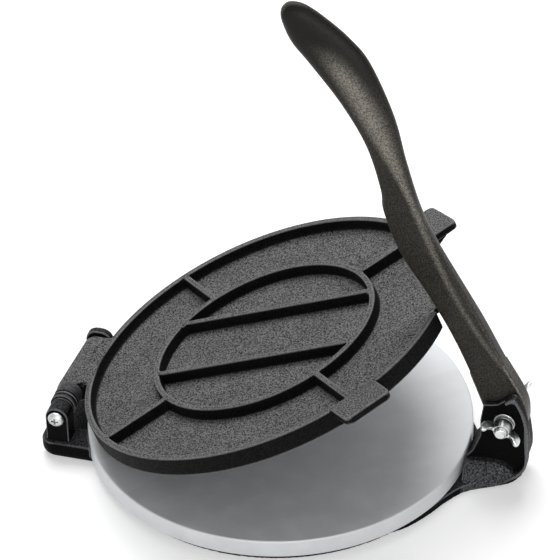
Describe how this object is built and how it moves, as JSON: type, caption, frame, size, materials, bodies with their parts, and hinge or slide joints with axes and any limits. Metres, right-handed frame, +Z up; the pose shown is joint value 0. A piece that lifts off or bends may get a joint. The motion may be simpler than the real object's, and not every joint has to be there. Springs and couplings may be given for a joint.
{
  "type": "tortilla press",
  "caption": "Hand tortilla press: ribbed round top plate hinged over a bright lower plate, with an upright cast lever on a bolted bracket.",
  "frame": {"origin": "centre of the round plates on the surface that the press stands on", "axes": "+X from the hinge towards the lever, +Y along the hinge to the far side, +Z up"},
  "size_m": [0.3253, 0.26, 0.3535],
  "materials": {
    "base_black": "black coated casting",
    "lower_silver": "satin cast and rubbed smooth",
    "top_black": "sand-cast with a fine black grain",
    "lever_bronze_black": "black powder coat with a fine leathery grain",
    "zinc": "bright zinc plate"
  },
  "bodies": {
    "base": {"base_casting": "base_black", "lower_plate": "lower_silver", "plate_screw_1": "zinc", "plate_screw_2": "zinc", "plate_screw_3": "zinc", "hinge_screw": "zinc", "hinge_collar": "base_black", "hinge_nut": "zinc", "lever_bolt": "zinc", "far_washer": "zinc", "near_washer": "zinc", "spring_washer": "zinc"},
    "plate": {"top_plate": "top_black"},
    "handle": {"lever": "lever_bronze_black"},
    "nut": {"wing_nut": "zinc"}
  },
  "joints": [
    {"name": "plate_hinge", "type": "hinge", "parent": "base", "child": "plate", "pos_m": [-0.1389, 0, 0.0335], "axis": [0, -1, 0], "range_deg": [-22, 70]},
    {"name": "lever_swing", "type": "hinge", "parent": "base", "child": "handle", "pos_m": [0.157, 0, 0.053], "axis": [0, 1, 0], "range_deg": [-3, 5]},
    {"name": "wing_nut_turn", "type": "hinge", "parent": "base", "child": "nut", "pos_m": [0.157, 0, 0.053], "axis": [0, 1, 0], "continuous": true}
  ]
}
